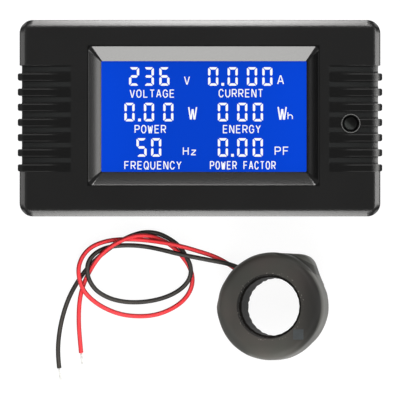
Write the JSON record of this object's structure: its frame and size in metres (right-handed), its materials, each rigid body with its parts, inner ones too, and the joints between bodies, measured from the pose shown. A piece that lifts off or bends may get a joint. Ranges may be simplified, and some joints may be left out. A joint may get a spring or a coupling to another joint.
{
  "type": "digital power meter",
  "caption": "Black panel-mount digital power meter with a blue backlit display and one button, and a ring-shaped current sensor on red and black leads.",
  "frame": {"origin": "middle of the meter's flat rear face, on which the meter lies", "axes": "+X to the right and +Y up across the meter's face, +Z out of the face"},
  "size_m": [0.0908, 0.0909, 0.0244],
  "materials": {
    "bezel_plastic": "fine-grained moulded ABS",
    "housing_plastic": "moulded ABS, satin",
    "clip_plastic": "moulded POM, satin",
    "screw_steel": "zinc plated",
    "board_laminate": "solder mask",
    "frame_plastic": "white moulded",
    "tin_plate": "bright tin plate",
    "led_resin": "clear resin",
    "display_film": "smooth film",
    "display_glass": "polished",
    "white_film": "smooth film",
    "guide_acrylic": "clear acrylic",
    "chip_resin": "moulded epoxy",
    "spring_steel": "bright",
    "button_plastic": "polished",
    "block_plastic": "moulded PA66, satin",
    "terminal_brass": "tinned",
    "cage_zinc": "zinc plated",
    "capacitor_plastic": "moulded case",
    "resistor_coat": "lacquered",
    "varistor_coat": "epoxy coat",
    "can_aluminium": "bare can",
    "core_ferrite": "sintered",
    "winding_copper": "enamelled",
    "joint_tin": "solder",
    "sleeve_rubber": "matt shrink sleeve",
    "sticker_paper": "plain",
    "black_insulation": "smooth PVC",
    "red_insulation": "smooth PVC",
    "tinned_strand": "tinned copper strand"
  },
  "bodies": {
    "meter": {"front_bezel": "bezel_plastic", "rear_housing": "housing_plastic", "case_screws": "screw_steel", "main_board": "board_laminate", "board_screws": "screw_steel", "lcd_frame": "frame_plastic", "lcd_pins": "tin_plate", "backlight_leds": "led_resin", "lcd_front_polariser": "display_film", "lcd_front_glass": "display_glass", "lcd_rear_glass": "display_glass", "lcd_rear_polariser": "display_film", "backlight_diffuser": "white_film", "backlight_guide": "guide_acrylic", "backlight_reflector": "white_film", "switch_body": "chip_resin", "switch_dome": "spring_steel", "switch_terminals": "tin_plate", "terminal_block": "block_plastic", "terminal_contacts": "terminal_brass", "box_capacitor": "capacitor_plastic", "fuse_resistor": "resistor_coat", "varistor": "varistor_coat", "electrolytic_capacitor": "can_aluminium", "bridge_rectifier": "chip_resin", "voltage_regulator": "chip_resin", "metering_chip": "chip_resin", "controller_chip": "chip_resin", "memory_chip": "chip_resin", "crystal": "tin_plate", "chip_resistors": "chip_resin"},
    "button": {"button_cap": "button_plastic", "switch_plunger": "button_plastic"},
    "clip_left": {"panel_clip_left": "clip_plastic"},
    "clip_right": {"panel_clip_right": "clip_plastic"},
    "sensor": {"sensor_core": "core_ferrite", "sensor_winding": "winding_copper", "sensor_joints": "joint_tin", "sensor_sleeve": "sleeve_rubber", "sensor_sticker": "sticker_paper", "black_lead": "black_insulation", "red_lead": "red_insulation", "black_lead_end": "tinned_strand", "red_lead_end": "tinned_strand"},
    "screw_1": {"terminal_screw_1": "screw_steel"},
    "cage_1": {"terminal_cage_1": "cage_zinc"},
    "screw_2": {"terminal_screw_2": "screw_steel"},
    "cage_2": {"terminal_cage_2": "cage_zinc"},
    "screw_3": {"terminal_screw_3": "screw_steel"},
    "cage_3": {"terminal_cage_3": "cage_zinc"},
    "screw_4": {"terminal_screw_4": "screw_steel"},
    "cage_4": {"terminal_cage_4": "cage_zinc"}
  },
  "joints": [
    {"name": "button_press", "type": "slide", "parent": "meter", "child": "button", "axis": [0, 0, -1], "range_m": [0, 0.00025], "stiffness_N_per_m": 2000, "springref_m": -0.0003},
    {"name": "clip_left_flex", "type": "hinge", "parent": "meter", "child": "clip_left", "pos_m": [-0.0419, 0, 0.0042], "axis": [0, 1, 0], "range_deg": [0, 6.5], "stiffness_Nm_per_rad": 0.8},
    {"name": "clip_right_flex", "type": "hinge", "parent": "meter", "child": "clip_right", "pos_m": [0.0419, 0, 0.0042], "axis": [0, -1, 0], "range_deg": [0, 6.5], "stiffness_Nm_per_rad": 0.8},
    {"name": "sensor_lift", "type": "slide", "parent": "meter", "child": "sensor", "axis": [0, 0, 1], "range_m": [0, 0.03]},
    {"name": "screw_1_turn", "type": "hinge", "parent": "meter", "child": "screw_1", "pos_m": [-0.0275, 0.01622, 0], "axis": [0, 0, 1], "range_deg": [0, 1584.1]},
    {"name": "cage_1_rise", "type": "slide", "parent": "meter", "child": "cage_1", "axis": [0, 0, -1], "range_m": [0, 0.0022]},
    {"name": "screw_2_turn", "type": "hinge", "parent": "meter", "child": "screw_2", "pos_m": [-0.0225, 0.01622, 0], "axis": [0, 0, 1], "range_deg": [0, 1584.1]},
    {"name": "cage_2_rise", "type": "slide", "parent": "meter", "child": "cage_2", "axis": [0, 0, -1], "range_m": [0, 0.0022]},
    {"name": "screw_3_turn", "type": "hinge", "parent": "meter", "child": "screw_3", "pos_m": [-0.0175, 0.01622, 0], "axis": [0, 0, 1], "range_deg": [0, 1584.1]},
    {"name": "cage_3_rise", "type": "slide", "parent": "meter", "child": "cage_3", "axis": [0, 0, -1], "range_m": [0, 0.0022]},
    {"name": "screw_4_turn", "type": "hinge", "parent": "meter", "child": "screw_4", "pos_m": [-0.0125, 0.01622, 0], "axis": [0, 0, 1], "range_deg": [0, 1584.1]},
    {"name": "cage_4_rise", "type": "slide", "parent": "meter", "child": "cage_4", "axis": [0, 0, -1], "range_m": [0, 0.0022]}
  ],
  "couplings": [
    {"joint": "screw_1_turn", "follows": "cage_1_rise", "rad_per_m": 12566},
    {"joint": "screw_2_turn", "follows": "cage_2_rise", "rad_per_m": 12566},
    {"joint": "screw_3_turn", "follows": "cage_3_rise", "rad_per_m": 12566},
    {"joint": "screw_4_turn", "follows": "cage_4_rise", "rad_per_m": 12566}
  ]
}
